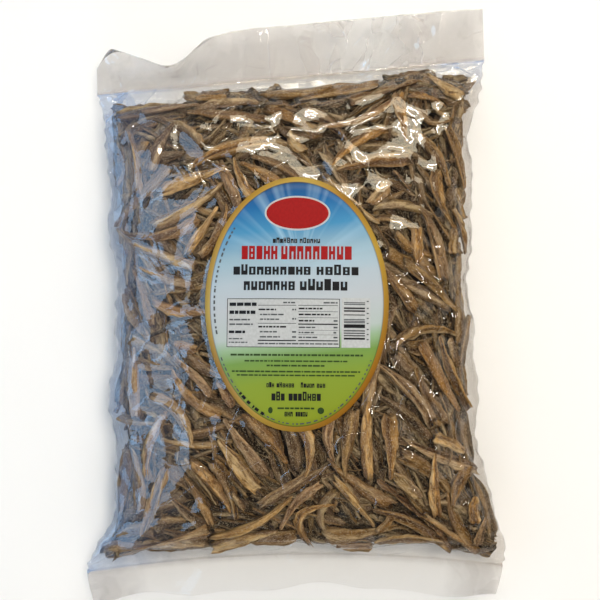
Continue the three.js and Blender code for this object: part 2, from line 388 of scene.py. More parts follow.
# One fish of a kind, a unit long to each side, its neck at +X, shaped from a sphere with poles on X
def fish_form(kind, variant):
    deselect()
    bpy.ops.mesh.primitive_uv_sphere_add(
        segments=FISH_SEGMENTS, ring_count=FISH_RINGS, radius=1, rotation=(0, math.pi / 2, 0)
    )
    sphere = bpy.context.object
    bpy.ops.object.transform_apply(location=False, rotation=True, scale=False)
    mesh = sphere.data
    points = mesh_points(mesh)
    faces = {n: np.array([list(f.vertices) for f in mesh.polygons if len(f.vertices) == n]) for n in (3, 4)}
    bpy.data.objects.remove(sphere)
    bpy.data.meshes.remove(mesh)

    own = np.random.default_rng(100 * variant + kind["seed"])
    ring_t = np.arcsin(np.clip(points[:, 0], -1, 1)) / (np.pi / 2)
    ring = np.rint((ring_t + 1) / 2 * FISH_RINGS).astype(int)
    around = np.arctan2(points[:, 2], points[:, 1])
    line = np.rint(around / (2 * np.pi) * FISH_SEGMENTS).astype(int) % FISH_SEGMENTS
    pole = np.hypot(points[:, 1], points[:, 2]) < 1e-4
    # The last rings lie close to the ends, and the neck's end is hollow
    last = 1 - 2 / FISH_RINGS
    t = np.interp(ring_t, (-1, -last, last, 1), (-1, -0.93, 0.985, 0.9))
    shifted = np.interp(t, (-1, own.uniform(-WIDEST_SHIFT, WIDEST_SHIFT), 1), (-1, 0, 1))
    half_wide = np.interp(shifted, TAIL_TO_NECK, kind["outline"])
    half_wide = half_wide * (1 + own.normal(0, RING_WIDTHS, FISH_RINGS + 1))[ring]
    half_high = half_wide**HEIGHT_POWER * (1 + own.normal(0, RING_HEIGHTS, FISH_RINGS + 1))[ring]
    # Creases run along the fish: each line of points keeps its own offset, which drifts a little
    crease = own.normal(0, kind["shrivel"], FISH_SEGMENTS)[line]
    drift = own.normal(0, CREASE_DRIFT * kind["shrivel"], (4, FISH_SEGMENTS))
    place = (t + 1) / 2 * 3
    low = np.clip(np.floor(place).astype(int), 0, 2)
    crease = crease + drift[low, line] * (1 - place + low) + drift[low + 1, line] * (place - low)
    crease = crease + own.normal(0, CREASE_GRAIN, len(t))
    lens = signed_power(np.sin(around), LENS_POWER)
    y = half_wide * np.cos(around) * (1 + CREASE_WIDE * crease)
    z = half_high * lens * (1 + CREASE_HIGH * crease)
    y = np.where(y > 0, y * (1 - kind["cut"] * bell(t, 0.3, 0.4)), y)
    if kind["open"]:
        gape = smooth(t, -0.8, -0.35) * (1 - smooth(t, 0.8, 1.0))
        off_middle = y / np.maximum(half_wide, 0.01)
        hollow = kind["open"] * np.clip(1 - off_middle**2, 0, 1) * half_high
        z = np.where(z > 0, z * (1 - gape) + gape * (0.35 * z - hollow), z)
        z = z + gape * 0.35 * np.abs(off_middle) ** 3
        y = y * (1 + 0.15 * gape)
    spine = np.cumsum(own.normal(0, SPINE_WANDER, FISH_RINGS + 1))
    y = np.where(pole, 0, y) + (spine - np.linspace(spine[0], spine[-1], FISH_RINGS + 1))[ring]
    z = np.where(pole, 0, z)
    shift = POINT_SHIFT * own.normal(size=len(t))
    shift = shift + TORN_NECK * own.normal(size=len(t)) * (t > 0.95)
    x = t + np.where(pole, 0, shift)
    return {
        "points": np.stack([x, y, z], -1),
        "triangles": faces[3],
        "quads": faces[4],
        "rim": np.cos(around) * ~pole,  # 1 and -1 along the two thin edges, 0 along the back and belly
        "ridge": np.clip(crease / kind["shrivel"], -2, 2) * ~pole,  # 2 on a ridge, -2 in a deep groove
    }


# The heap: fish are laid one by one against the inside of the film, each behind those that are
# already there. inner_depth is how far in each cell is taken, and outer_depth what shows first.
waver = 0.5 + 0.25 * np.sin(FROM_BOTTOM / 13 + 3 * np.cos(TURN))
waver = waver + 0.25 * np.sin(FROM_BOTTOM / 7.1 + 5 * np.cos(TURN))
# SLACK is the room between the film and the first fish: most at the seams and in the side edges
SLACK = 0.4 + SIDE_EDGE * (0.2 + 0.3 * ON_LEFT + (2.4 + 1.6 * ON_LEFT) * waver**1.6)
SLACK = SLACK + 2.5 * np.exp(-FROM_BOTTOM / 5) + 4.5 * np.exp(-FROM_SEAL / 8)
SLACK = SLACK + 7 * SIDE_EDGE * (np.exp(-FROM_SEAL / 20) + np.exp(-FROM_BOTTOM / 16))
USED_ROOM = 0.85
DEEPEST_ROOM = 22.0
NO_FISH = 30.0
HALF_ROOM = USED_ROOM * (SHEET_HALF + 0.5 * (FILL_THICKNESS + FLAT_SINK) * fullness(ROW_W))[:, None]
ROOM = np.minimum(DEEPEST_ROOM, HALF_ROOM)
inner_depth = SLACK.copy()
outer_depth = np.full((ROWS, COLUMNS), NO_FISH)

# The way the fish mostly lie, in degrees from +X in plan: in the middle, at both sides and both ends
SLOPE_MIDDLE = -42
SLOPE_RIGHT = -76
SLOPE_LEFT = -98
SLOPE_ENDS = -4


def grain(x, y):
    level = np.maximum(smooth(y, 95, 130), 0.8 * (1 - smooth(y, -152, -128)))
    left = 1 - smooth(x, -105, -75)
    right = smooth(x, 80, 108)
    slope = SLOPE_MIDDLE + (SLOPE_RIGHT - SLOPE_MIDDLE) * right
    slope = slope + (SLOPE_LEFT - slope) * left
    return np.radians(slope + (SLOPE_ENDS - slope) * level)


# Places along a fish at which its room is measured, and the pairs of them on which it may rest
ALONG = np.linspace(-1, 1, 13)
MIDDLE = 6
PAIR_LOW = np.repeat(np.arange(MIDDLE), 6)
PAIR_HIGH = np.tile(np.arange(MIDDLE + 1, 13), 6)
CANDIDATES = 28
FIRST_CANDIDATES = 80  # more places are tried for the first fish, so that they lie close together
FIRST_SHARE = 0.22
GAPS_FROM = 0.3  # the share of the fish after which most places are picked in gaps
GAPS_EVERY = 25  # the gaps are looked up again after as many fish
GAP_DEPTH = 9.5
FILL_FROM = 0.74  # the share of the fish after which the rest are pushed in where gaps are left
FILL_DEPTH = 9.0
FILL_TILT = 2
DEEPEST = 26.0
END_ROWS = 5  # rows at both seams where no fish has its middle
HEADING_SPREAD = 0.55
STRAY_SHARE = 0.2  # fish that lie any way
ON_EDGE_SHARE = 0.14
SLIDE = 0.35
BESIDE = 0.33
STEEPEST = 6
REST_HEIGHT = 0.8  # the share of a fish's half height that keeps it off the fish before it
KEPT_HEIGHT = 0.85  # the share that it keeps from the fish after it
SAMPLE_STEP = 0.7
BARE_BAND = 7
SEAL_CORNER = 20
BOTTOM_CORNER = 22
UNDER_LABEL = -9  # margin within which the label hides the fish

# What counts against a place, for each millimetre or share, next to the fish's depth
COSTS = {"tilt": 0.35, "beyond": 1.5, "outside": 45, "hidden": 12, "chance": 2.2, "side_chance": 8, "gap": 8}


# Where no fish reach: a wavy band along the heat seal, and the bag's rounded-off corners
def bare_zone(points):
    x = points[..., 0] - SHIFT_X
    y = points[..., 1] - SHIFT_Y
    from_side = half_width(x, np.clip(way_up(x, y), 0, 1)) - np.abs(x)
    from_seal = seal_y(x) - y
    from_bottom = y - bottom_seam_y(x)
    band = BARE_BAND + 3 * np.sin(x / 19 + 0.6) + 2 * np.sin(x / 7.7)
    corner = np.zeros(x.shape, bool)
    for from_end, radius in ((from_seal, SEAL_CORNER), (from_bottom, BOTTOM_CORNER)):
        inward = np.hypot(np.maximum(radius - from_side, 0), np.maximum(radius - from_end, 0))
        corner |= inward > radius - 2
    return (from_seal < band) | (from_bottom < BARE_BAND + 2 * np.sin(x / 13 + 2)) | corner


def cells(rows, columns):
    return np.clip(np.rint(rows).astype(int), 0, ROWS - 1), np.rint(columns).astype(int) % COLUMNS


# A way in space as rows and columns of the chart, near given cells
def chart_way(way, r, c):
    rows = (way * unit(STEP_ALONG[r, c])).sum(-1) / CELL_ALONG[r, c]
    columns = (way * unit(STEP_ROUND[r, c])).sum(-1) / CELL_ROUND[r, c]
    return rows, columns


# Tries a fish at several places at once. The best one takes its room and comes back as its two ends
# on the line of centres, the film's normal there, and how deep its middle lies.
def lay(kind, length, width, height, bend, progress, uncovered):
    count = FIRST_CANDIDATES if progress < FIRST_SHARE else CANDIDATES
    row = rng.uniform(END_ROWS, ROWS - 1 - END_ROWS, count)
    column = rng.uniform(0, COLUMNS, count)
    if progress > GAPS_FROM and len(uncovered):
        picked = rng.choice(uncovered, count * 4 // 5)
        row[: len(picked)] = picked // COLUMNS
        column[: len(picked)] = picked % COLUMNS
    r0, c0 = cells(row, column)
    heading = grain(SURFACE[r0, c0, 0] - SHIFT_X, SURFACE[r0, c0, 1] - SHIFT_Y)
    heading = heading + rng.normal(0, HEADING_SPREAD, count) + np.pi * (rng.random(count) < 0.5)
    heading = np.where(rng.random(count) < STRAY_SHARE, rng.uniform(0, 2 * np.pi, count), heading)
    plan = np.stack([np.cos(heading), np.sin(heading), np.zeros(count)], -1)
    # Any part of the fish may lie on the place that was picked, not only its middle
    slide = chart_way(plan * rng.uniform(-SLIDE, SLIDE, (count, 1)) * length, r0, c0)
    row = np.clip(row + slide[0], END_ROWS, ROWS - 1 - END_ROWS)
    column = column + slide[1]
    r0, c0 = cells(row, column)
    normal = OUTWARD[r0, c0]
    flat = unit(plan - (plan * normal).sum(-1, keepdims=True) * normal)
    side = np.cross(normal, flat)
    sideways = bend * (ALONG**2 - 0.4)
    path = flat[:, None, :] * (ALONG * length / 2)[None, :, None] + side[:, None, :] * sideways[None, :, None]
    way = chart_way(path, r0[:, None], c0[:, None])
    rows = row[:, None] + way[0]
    columns = column[:, None] + way[1]
    ri, ci = cells(rows, columns)
    # The film's rise over a straight fish, and the room taken under its middle and both sides
    on_film = SURFACE[ri, ci]
    share = ((ALONG + 1) / 2)[None, :, None]
    chord = on_film[:, :1] * (1 - share) + on_film[:, -1:] * share
    sag = ((on_film - chord) * normal[:, None, :]).sum(-1)
    taken = inner_depth[ri, ci]
    side_rows, side_columns = chart_way(side[:, None, :], r0[:, None], c0[:, None])
    for reach in (-BESIDE * width, BESIDE * width):
        beside = cells(rows + reach * side_rows, columns + reach * side_columns)
        taken = np.maximum(taken, inner_depth[beside])
    # It comes to rest on the two points that keep it farthest in
    outline = np.interp(ALONG, TAIL_TO_NECK, kind["outline"])
    half = (height / 2 * np.maximum(outline, 0.2) ** HEIGHT_POWER)[None, :]
    need = taken + REST_HEIGHT * half - sag
    t_low = ALONG[PAIR_LOW]
    t_high = ALONG[PAIR_HIGH]
    at_middle = (need[:, PAIR_LOW] * t_high - need[:, PAIR_HIGH] * t_low) / (t_high - t_low)
    pair = at_middle.argmax(1)
    chosen = np.arange(count)
    depth = np.maximum(at_middle[chosen, pair], need[:, MIDDLE])
    low = PAIR_LOW[pair]
    high = PAIR_HIGH[pair]
    tilt = np.clip((need[chosen, high] - need[chosen, low]) / (ALONG[high] - ALONG[low]), -STEEPEST, STEEPEST)
    if progress > FILL_FROM:
        depth = np.minimum(depth, np.minimum(FILL_DEPTH, np.maximum(HALF_ROOM[r0, 0] - height / 2, 1.0)))
        tilt = np.clip(tilt, -FILL_TILT, FILL_TILT)
    centre = depth[:, None] + tilt[:, None] * ALONG[None, :] + sag
    beyond = np.maximum(centre + half - ROOM[ri, 0], 0).max(1)
    outside = bare_zone(on_film).mean(1)
    hidden = under_label(on_film, UNDER_LABEL).mean(1)
    cost = depth + COSTS["tilt"] * np.abs(tilt) + COSTS["beyond"] * beyond
    cost = cost + COSTS["outside"] * outside + COSTS["hidden"] * hidden
    cost = cost + rng.uniform(0, 1, count) * (COSTS["chance"] + COSTS["side_chance"] * SIDE_EDGE[0, c0])
    if progress > GAPS_FROM:
        cost = cost - COSTS["gap"] * (outer_depth[ri, ci] > GAP_DEPTH).mean(1)
    k = cost.argmin()
    if cost[k] > DEEPEST:
        return None
    mark(rows[k], columns[k], centre[k], half[0], width, length, side_rows[k, 0], side_columns[k, 0])
    ends = [on_film[k, i] - OUTWARD[ri[k, i], ci[k, i]] * (depth[k] + tilt[k] * ALONG[i]) for i in (0, -1)]
    return ends[0], ends[1], normal[k], depth[k]


# Takes a fish's own room out of what is left behind the film
def mark(rows, columns, centre, half, width, length, side_rows, side_columns):
    fine = np.linspace(-1, 1, max(int(length / SAMPLE_STEP), 8))
    fine_half = np.interp(fine, ALONG, half)
    across = np.arange(-width / 2, width / 2 + SAMPLE_STEP / 2, SAMPLE_STEP)
    offset = across[None, :] * (fine_half / fine_half.max())[:, None]
    ri, ci = cells(
        np.interp(fine, ALONG, rows)[:, None] + offset * side_rows,
        np.interp(fine, ALONG, columns)[:, None] + offset * side_columns,
    )
    swell = np.sqrt(np.clip(1 - (across / (width / 2 + 0.4)) ** 2, 0.05, 1))[None, :] * fine_half[:, None]
    middle = np.interp(fine, ALONG, centre)[:, None]
    np.maximum.at(inner_depth, (ri, ci), middle + KEPT_HEIGHT * swell)
    np.minimum.at(outer_depth, (ri, ci), middle - swell)


def within(span, share):
    return span[0] + (span[1] - span[0]) * share


kind_names = list(KINDS)
kind_shares = np.array([KINDS[name]["share"] for name in kind_names])
kind_shares = kind_shares / kind_shares.sum()
laid = {name: [] for name in kind_names}
fish_zone = ~bare_zone(SURFACE) & ~under_label(SURFACE, UNDER_LABEL)
for number in range(FISH_COUNT):
    progress = number / FISH_COUNT
    if number % GAPS_EVERY == 0:
        uncovered = np.flatnonzero((outer_depth > GAP_DEPTH) & fish_zone)
    name = kind_names[rng.choice(len(kind_names), p=kind_shares)]
    kind = KINDS[name]
    size = rng.beta(2.2, 2.2)
    # The first fish are larger ones, and those pushed into gaps are of middle size
    if progress > FILL_FROM:
        size = 0.15 + 0.7 * size
    elif progress < FIRST_SHARE:
        size = 0.25 + 0.75 * size
    length = within(kind["length"], size)
    width = within(kind["width"], 0.6 * size + 0.4 * rng.random())
    height = width * kind["height"] * rng.uniform(0.8, 1.2)
    on_edge = rng.random() < ON_EDGE_SHARE
    bend = kind["bend"] * rng.normal(0, 0.6)
    footprint = (height, width) if on_edge else (width, height)
    found = lay(kind, length, *footprint, bend, progress, uncovered)
    if found is not None:
        laid[name].append((found, length, width, height, bend, on_edge))

# Colours of dried fish: golden tan, brown, pale straw, pale brown and dark brown
TONES = np.array(
    [srgb(170, 130, 72), srgb(148, 109, 58), srgb(186, 152, 98), srgb(160, 130, 96), srgb(140, 103, 68)]
)
TONE_SHARE = np.array([0.38, 0.24, 0.17, 0.16, 0.05])
# Painted window light: the grey towards which the fish at the left are mixed
WINDOW_LIGHT_GREY = srgb(148, 136, 124)
WINDOW_LIGHT_SHARE = 0.55  # how much of that painted window light the fish at the left take
FRONT_SHADE = 1.18
DEEP_SHADE = 0.15  # painted shade: how much darker a fish is for each millimetre that it lies below the film
DARKEST_SHADE = 0.07
ROLL_SPREAD = 0.3
CURL_SPREAD = 0.7
WAVE_HEIGHT = 0.5
SKIN_LENGTH = 0.45  # the share of a fish's length that its pattern takes, so that it is drawn out along it
FILM_GAP = 0.35
SIDE_REACH = 0.985
BOTTOM_GAP = 1.5
SEAL_GAP = 3


# Keeps points a little inside the bag's form
def kept_inside(points, margin):
    x = points[:, 0] - SHIFT_X
    y = points[:, 1] - SHIFT_Y
    y = np.clip(y, bottom_seam_y(x) + BOTTOM_GAP, seal_y(x) - SEAL_GAP)
    reach = SIDE_REACH * half_width(x, way_up(x, y))
    x = np.clip(x, -reach, reach)
    low, high = form_heights(x + SHIFT_X, y + SHIFT_Y)
    half = np.maximum((high - low) / 2 - margin, 0.2)
    z = np.clip(points[:, 2], (low + high) / 2 - half, (low + high) / 2 + half)
    return np.stack([x + SHIFT_X, y + SHIFT_Y, z], -1)


# Joins all fish of a kind into one mesh, each with its own bend, roll, twist and colour, into which painted
# shade and painted window light are mixed
def heap_piece(name, kind, fish):
    forms = [fish_form(kind, variant) for variant in range(VARIANTS)]
    chosen, points, places, tones = [], [], [], []
    for (first, last, normal, depth), length, width, height, bend, on_edge in fish:
        form = forms[rng.integers(VARIANTS)]
        chosen.append(form)
        x, y, z = form["points"].T
        y = y * width / 2
        z = z * height / 2
        reach = np.linalg.norm(last - first)
        axis = (last - first) / reach
        up = unit(normal - (normal @ axis) * axis)
        side = np.cross(up, axis)
        if on_edge:
            roll = math.pi / 2 * rng.choice([-1, 1])
        else:
            roll = math.pi if rng.random() < (0.25 if kind["open"] else 0.5) else 0
        places.append(np.stack([x * length / 2 * SKIN_LENGTH, y, z], -1) + rng.uniform(-500, 500, 3))
        roll = roll + rng.normal(0, ROLL_SPREAD) + rng.normal(0, ROLL_SPREAD) * x
        across = y * np.cos(roll) - z * np.sin(roll) + bend * (x**2 - 1)
        curl = kind["curl"] * rng.normal(0, CURL_SPREAD) * (x**2 - 0.3)
        above = y * np.sin(roll) + z * np.cos(roll) + curl
        above = above + rng.normal(0, WAVE_HEIGHT) * np.sin(2.4 * x + rng.uniform(0, 6))
        placed = (first + last) / 2 + axis * (x * reach / 2)[:, None] + side * across[:, None]
        points.append(placed + up * above[:, None])
        tone = TONES[rng.choice(len(TONES), p=TONE_SHARE)] * rng.uniform(0.6, 1.22)
        # Painted light: towards the left the fish are greyer and paler, as if lit by the window's bluish
        # daylight
        grey = WINDOW_LIGHT_SHARE * (1 - smooth((first + last)[0] / 2 - SHIFT_X, -115, -30))
        tone = tone * (1 - grey) + np.array(WINDOW_LIGHT_GREY) * rng.uniform(0.7, 1.25) * grey
        # Painted shade: a fish deeper below the film is darker, one at the front lighter
        tone = tone * max(FRONT_SHADE - DEEP_SHADE * depth, DARKEST_SHADE)
        tones.append(np.broadcast_to(np.append(tone, 1.0), (len(x), 4)))
    starts = np.cumsum([0] + [len(form["points"]) for form in chosen[:-1]])
    quads = np.concatenate([form["quads"] + start for form, start in zip(chosen, starts)])
    triangles = np.concatenate([form["triangles"] + start for form, start in zip(chosen, starts)])
    piece = mesh_piece(name, kept_inside(np.concatenate(points), FILM_GAP), quads, triangles)
    point_values(piece, "FLOAT_VECTOR", fish_place=np.concatenate(places))
    point_values(piece, "FLOAT_COLOR", fish_tone=np.concatenate(tones))
    rims = np.concatenate([form["rim"] for form in chosen])
    ridges = np.concatenate([form["ridge"] for form in chosen])
    point_values(piece, "FLOAT", fish_rim=rims, fish_ridge=ridges)
    return piece


# Dried skin: the fish's tone with long streaks, painted shade in the grooves, mauve patches, pale rims and
# crusty pale flecks
def dried_fish_material():
    graph = Graph("dried_fish")
    place = graph.attribute("fish_place", "Vector")
    rim = graph.attribute("fish_rim")
    streaks = graph.noise(graph.stretched(place, (0.55, 1.0, 1.0)), 0.36, 2.1, Roughness=0.55, Distortion=1.0)
    patches = graph.noise(place, 0.15, 3.0, Roughness=0.55)
    grains = graph.noise(place, 1.7, 4.0, Roughness=0.6)
    # Painted shade darkens the grooves, and the ridges are lighter, partly a painted highlight and partly
    # dust
    ridge = graph.ranged(graph.attribute("fish_ridge"), -2.0, 2.0)
    groove_shade_and_ridge_light = graph.ramp(ridge, (0.12, (0.26, 0.19, 0.14)), (0.4, (0.86, 0.81, 0.74)),
                        (0.6, (1.06, 1.05, 1.03)), (0.9, (1.16, 1.17, 1.18)))
    color = graph.multiplied(graph.attribute("fish_tone", "Color"), groove_shade_and_ridge_light)
    color = graph.mix(graph.ranged(ridge, 0.52, 0.9, 0.0, 0.68), color, srgb(176, 155, 120))
    shade = graph.ramp(streaks, (0.31, (0.34, 0.26, 0.19)), (0.42, (0.76, 0.7, 0.62)),
                       (0.5, (1.0, 0.97, 0.93)), (0.64, (1.44, 1.43, 1.4)))
    color = graph.multiplied(color, shade)
    # One side of most fish is mauve grey, where the skin is left, and both thin edges are pale
    skin = graph.math("ADD", rim, graph.ranged(patches, 0.35, 0.65, -0.9, 0.9))
    color = graph.mix(graph.ranged(skin, 0.1, 0.7, 0.0, 0.5), color, srgb(122, 96, 74))
    thin_edge = graph.ranged(graph.math("ABSOLUTE", rim), 0.8, 1.0, 0.0, 0.4)
    color = graph.mix(thin_edge, color, srgb(184, 142, 82))
    # Crusty pale flecks, and dark specks between them
    flecks = graph.ramp(grains, (0.53, (0, 0, 0)), (0.64, (0.55, 0.55, 0.55)))
    color = graph.mix(flecks, color, srgb(196, 178, 146))
    specks = graph.ramp(grains, (0.34, (0.72, 0.68, 0.62)), (0.46, (1, 1, 1)))
    color = graph.multiplied(color, specks)
    normal = graph.bump(grains, 0.6, 0.0005, Normal=graph.bump(streaks, 1.0, 0.0013))
    shine = graph.ranged(patches, 0.0, 1.0, 0.45, 0.7)
    return graph.surface(Base_Color=color, Roughness=shine, Specular_IOR_Level=0.14, Normal=normal)


fish_material = dried_fish_material()
for name in kind_names:
    finished(heap_piece(name, KINDS[name], laid[name]), name, fish_material, "fish_in_film")


# The film


# Faces of a closed grid whose rows are rings of points, facing out
def ring_faces(rows, columns):
    r, c = np.meshgrid(np.arange(rows - 1), np.arange(columns), indexing="ij")
    a = r * columns + c
    b = r * columns + (c + 1) % columns
    return np.stack([a, b, b + columns, a + columns], -1).reshape(-1, 4)[:, ::-1]


# Closes both flat ends of such a grid: each end's upper half is joined to its lower half
def end_faces(rows, columns):
    half = columns // 2
    top = np.arange(0, half + 1)
    under = (columns - top) % columns
    near = np.stack([top[:-1], top[1:], under[1:], under[:-1]], -1)[1:-1]
    far = near[:, ::-1] + (rows - 1) * columns
    corners = []
    for start, turn in ((0, 1), ((rows - 1) * columns, -1)):
        corners.append(np.array([0, 1, columns - 1])[::turn] + start)
        corners.append(np.array([half - 1, half, half + 1])[::turn] + start)
    return np.concatenate([near, far]), np.array(corners)


# A closed skin from rings of points
def skin_piece(name, rings):
    rows, columns = rings.shape[:2]
    ends, corners = end_faces(rows, columns)
    quads = np.concatenate([ring_faces(rows, columns), ends])
    return mesh_piece(name, rings.reshape(-1, 3), quads, corners)


SPAN_RADIUS = 26.0  # the film is drawn over the fish as if a ball of this radius rolled over them
SPAN_REACH = 14


def spanned(depth):
    reach = int(SPAN_REACH / CELL)
    drop = [(s, (s * CELL) ** 2 / (2 * SPAN_RADIUS)) for s in range(-reach, reach + 1)]
    height = -depth
    for axis in (1, 0):
        height = np.max([np.roll(height, s, axis) - d for s, d in drop], axis=0)
    for axis in (1, 0):
        height = np.min([np.roll(height, s, axis) + d for s, d in drop], axis=0)
    return -height


# Creases that run in from both seams and from the side edges
def puckers():
    pleats = (
        np.abs(np.sin(23 * TURN + 1.1 + 0.02 * FROM_BOTTOM))
        + 0.7 * np.abs(np.sin(37 * TURN + 0.4 - 0.015 * FROM_BOTTOM))
        + 0.4 * np.abs(np.sin(61 * TURN + 2.0))
    )
    seams = pleats * (1.0 * np.exp(-FROM_BOTTOM / 16) + 0.9 * np.exp(-FROM_SEAL / 14))
    seams = seams * smooth(FROM_BOTTOM, 0, 4) * smooth(FROM_SEAL, 0, 4)
    gathers = np.abs(np.sin(FROM_BOTTOM / 5.6 + 1.6 * np.sin(FROM_BOTTOM / 17) + 2 * np.cos(TURN)))
    gathers = gathers + 0.6 * np.abs(np.sin(FROM_BOTTOM / 3.1 + 2 * np.sin(TURN)))
    return seams + (1.3 * gathers - 1.2) * SIDE_EDGE


# How far the film lies inside the bag's form
DEEPEST_SPAN = 9.0
OVER_FISH = 0.3
DEEPEST_FILM = 5.5
SKIN_GAP = 0.15
LABEL_BED = 1.0  # how far round the label the film lies flat
SMOOTHINGS = 3
deepest_film = DEEPEST_FILM * (1 - SIDE_EDGE) * smooth(FROM_BOTTOM, 2, 14) * smooth(FROM_SEAL, 2, 14)
deepest_film = OVER_FISH + deepest_film
over_fish = spanned(np.minimum(outer_depth, DEEPEST_SPAN)) - OVER_FISH
film_depth = np.clip(np.minimum(over_fish, deepest_film), 0, None)
film_depth = np.minimum(film_depth + puckers(), np.maximum(outer_depth - SKIN_GAP, 0.1))
film_depth = np.where(under_label(SURFACE, LABEL_BED), 0.0, film_depth)
for _ in range(SMOOTHINGS):
    total = 2 * film_depth
    for step, axis in ((1, 0), (-1, 0), (1, 1), (-1, 1)):
        total = total + np.roll(film_depth, step, axis)
    film_depth = total / 6

# The loose film above the heat seal reaches less far out where it stands up. At its left it folds up in
# a sharp V. The flap below the bottom seam droops.
HEADER_PLACES = (-131, -122, -114, -76, -72, -54, -37, -7, 128)
HEADER_REACHES = (26, 29, 24, 6, 6, 25.5, 30.5, 32.5, 32.5)

# Sharp creases in the loose panes: a point in x and from the seam, an angle, a height and a width
HEADER_CREASES = (
    (-18, 15, 0.25, 1.6, 8), (2, 15, -0.1, -1.2, 14), (92, 8, 0.6, 1.8, 5), (96, 8, -0.15, 1.5, 4),
    (108, 20, -0.9, -1.0, 9),
)
FLAP_CREASES = (
    (-60, 10, 0.5, 2.0, 7), (35, 10, -0.4, 1.6, 8), (88, 10, 0.8, 2.2, 8), (-5, 10, 0.1, -1.5, 12),
)
ACROSS = signed_power(np.cos(COLUMN_ANGLE), 2 / SECTION_POWER)
UPRIGHT = signed_power(np.sin(COLUMN_ANGLE), 2 / SECTION_POWER)
LAYER = np.where(UPRIGHT > 0, 1, -1)


def header_lift(x):
    out = np.mean([np.interp(x + step, HEADER_PLACES, HEADER_REACHES) for step in (-2, 0, 2)], axis=0)
    return np.arccos(1 - (HEADER_LENGTH - out) / (HEADER_LENGTH * 5 / 6))


def flap_droop(x):
    return np.radians(27 + 9 * np.sin(x / 21 + 0.5) + 6 * np.sin(x / 9))


def strip_point(x, seam_y, away, distance, length, angle, offset):
    bend = length / 3
    eased = np.where(distance < bend, distance**2 / (2 * bend), distance - bend / 2)
    out = distance - eased * (1 - np.cos(angle))
    z = SEAM_HEIGHT + eased * np.sin(angle) + offset
    return np.stack([x + SHIFT_X, seam_y + away * out + SHIFT_Y, np.maximum(z, 0.2)], -1)


def creased(x, distance, creases):
    folds = 0
    for x0, d0, angle, height, width in creases:
        off = (x - x0) * math.cos(angle) + (distance - d0) * math.sin(angle)
        folds = folds + height * np.clip(1 - np.abs(off) / width, 0, 1)
    return folds


# The distance between a loose pane's two layers, which part towards its free end
def layer_gap(grown, distance, parting, length):
    return UPRIGHT * (SHEET_HALF * (1 - 0.5 * grown) + parting * smooth(distance, 8, length))


def header_row(distance):
    x = ACROSS * (half_width(ACROSS, 1) - 0.05 * distance)
    grown = smooth(distance, 1, 14)
    crumple = (
        np.abs(np.sin(x / 3.7 + distance / 5.1 + 0.5))
        + np.abs(np.sin(x / 5.9 - distance / 3.3))
        + 0.6 * np.abs(np.sin(x / 2.3 - distance / 7.0 + LAYER))
    )
    folds = creased(x, distance, HEADER_CREASES) + 0.9 * crumple * bell(x, 52, 26) * bell(distance, 13, 12)
    folds = folds + 0.35 * crumple * bell(x, -100, 16)
    offset = layer_gap(grown, distance, 1.1, HEADER_LENGTH) + grown * folds
    reach = 0.45 + 0.55 * smooth(x, -131, -113)  # its left corner is cut off aslant
    return strip_point(x, seal_y(x), 1, distance * reach, HEADER_LENGTH * reach, header_lift(x), offset)


def flap_row(distance):
    x = ACROSS * (half_width(ACROSS, 0) - 0.12 * distance)
    grown = smooth(distance, 1, 12)
    folds = creased(x, distance, FLAP_CREASES)
    folds = folds + 0.5 * np.abs(np.sin(x / 4.1 + distance / 4.0)) * bell(distance, 12, 12)
    offset = layer_gap(grown, distance, 0.8, FLAP_LENGTH) + grown * folds
    return strip_point(x, bottom_seam_y(x), -1, distance, FLAP_LENGTH, -flap_droop(x), offset)


FILM_STEP = 2  # chart cells between two points of the film
LOWEST_FILM = 0.05
BEIGE_HAZE = np.array(srgb(200, 188, 179))
EDGE_HAZE = np.array(srgb(178, 154, 124))
WINDOW_REFLECTION_BLUE = np.array(srgb(150, 180, 226))
GLARE_WHITE = np.array(srgb(232, 230, 228))
LOOSE_STEPS = np.concatenate([[0.7, 1.4, 2.1, 2.9], np.arange(4.2, 60, 1.6)])
FILM_HAZE = 0.004
SIDE_HAZE = 0.2
LESS_ON_LEFT = 0.08
WINDOW_REFLECTION_HAZE = 0.1
SEAL_HAZE = 0.24
BOTTOM_HAZE = 0.1
HEADER_HAZE = 0.19
FLAP_HAZE = 0.01
GLARE_X = 45  # where the header is most crumpled and its painted white glare is strongest
